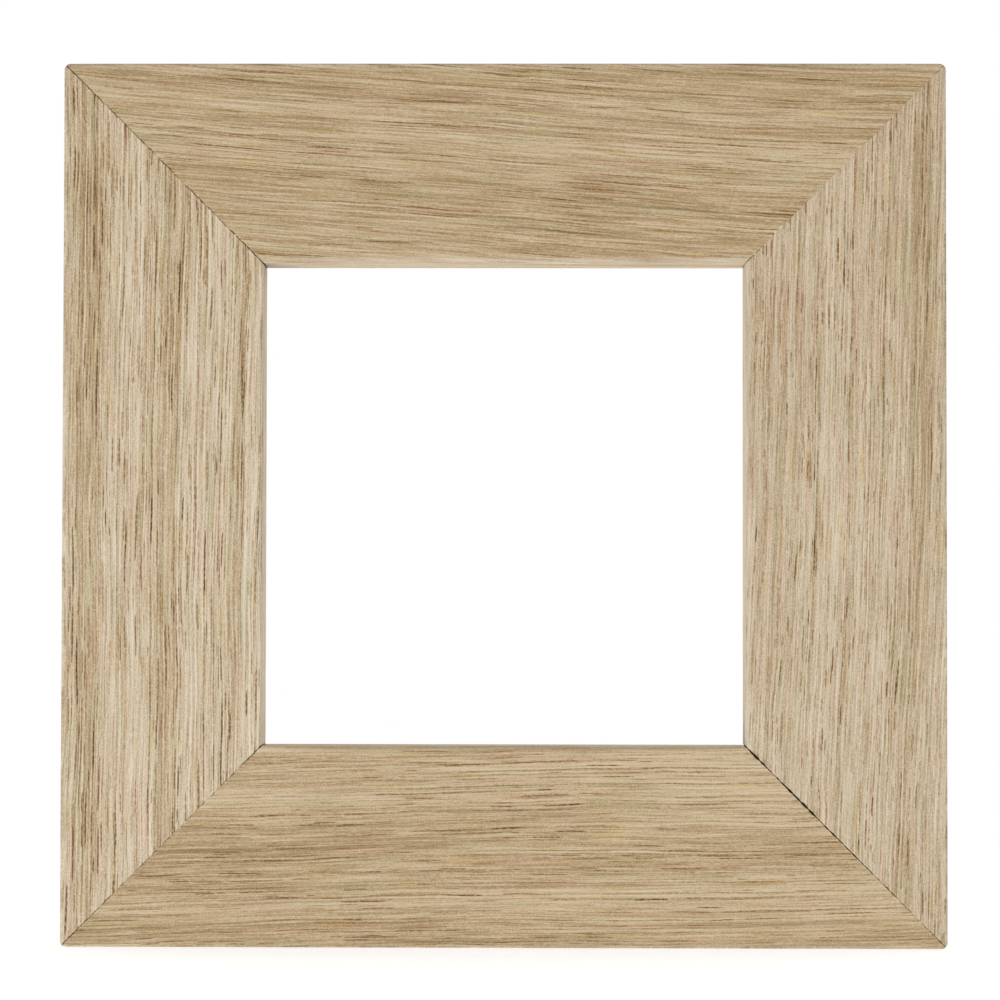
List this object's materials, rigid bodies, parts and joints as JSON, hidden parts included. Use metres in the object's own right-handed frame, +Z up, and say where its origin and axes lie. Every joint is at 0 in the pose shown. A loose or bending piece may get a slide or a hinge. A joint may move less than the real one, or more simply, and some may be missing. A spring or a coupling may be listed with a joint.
{
  "type": "tile display frame",
  "caption": "Square mitred oak frame that holds one ceramic tile in a rear rebate with turn buttons, and hangs on a sawtooth hanger or stands on its edge.",
  "frame": {"origin": "centre of the frame's underside, half way through the whole depth, bumpers included", "axes": "+Z up along the frame's side rails, +X to the viewer's right, +Y from the front face to the back"},
  "size_m": [0.176, 0.0234, 0.176],
  "materials": {
    "oak": "sanded pale oak, matt, with fine dark pores",
    "steel": "plain strip steel, sheared edge",
    "zinc_plate": "zinc plated pressed steel",
    "zinc_screw": "bright zinc plated",
    "rubber": "matt dark rubber"
  },
  "bodies": {
    "frame": {"rail_top": "oak", "rail_right": "oak", "rail_bottom": "oak", "rail_left": "oak", "v_nail_top_left_outer": "steel", "v_nail_top_left_inner": "steel", "v_nail_top_right_outer": "steel", "v_nail_top_right_inner": "steel", "v_nail_bottom_left_outer": "steel", "v_nail_bottom_left_inner": "steel", "v_nail_bottom_right_outer": "steel", "v_nail_bottom_right_inner": "steel", "turn_button_screw_top": "zinc_screw", "turn_button_screw_right": "zinc_screw", "turn_button_screw_bottom": "zinc_screw", "turn_button_screw_left": "zinc_screw", "sawtooth_hanger": "zinc_plate", "hanger_nail_left": "zinc_screw", "hanger_nail_right": "zinc_screw", "bumper_top_left": "rubber", "bumper_top_right": "rubber", "bumper_bottom_left": "rubber", "bumper_bottom_right": "rubber"},
    "button_top": {"turn_button_top": "zinc_plate"},
    "button_right": {"turn_button_right": "zinc_plate"},
    "button_bottom": {"turn_button_bottom": "zinc_plate"},
    "button_left": {"turn_button_left": "zinc_plate"}
  },
  "joints": [
    {"name": "button_top_turn", "type": "hinge", "parent": "frame", "child": "button_top", "pos_m": [0, 0.00885, 0.147], "axis": [0, 1, 0], "continuous": true},
    {"name": "button_right_turn", "type": "hinge", "parent": "frame", "child": "button_right", "pos_m": [0.059, 0.00885, 0.088], "axis": [0, 1, 0], "continuous": true},
    {"name": "button_bottom_turn", "type": "hinge", "parent": "frame", "child": "button_bottom", "pos_m": [0, 0.00885, 0.029], "axis": [0, 1, 0], "continuous": true},
    {"name": "button_left_turn", "type": "hinge", "parent": "frame", "child": "button_left", "pos_m": [-0.059, 0.00885, 0.088], "axis": [0, 1, 0], "continuous": true}
  ]
}
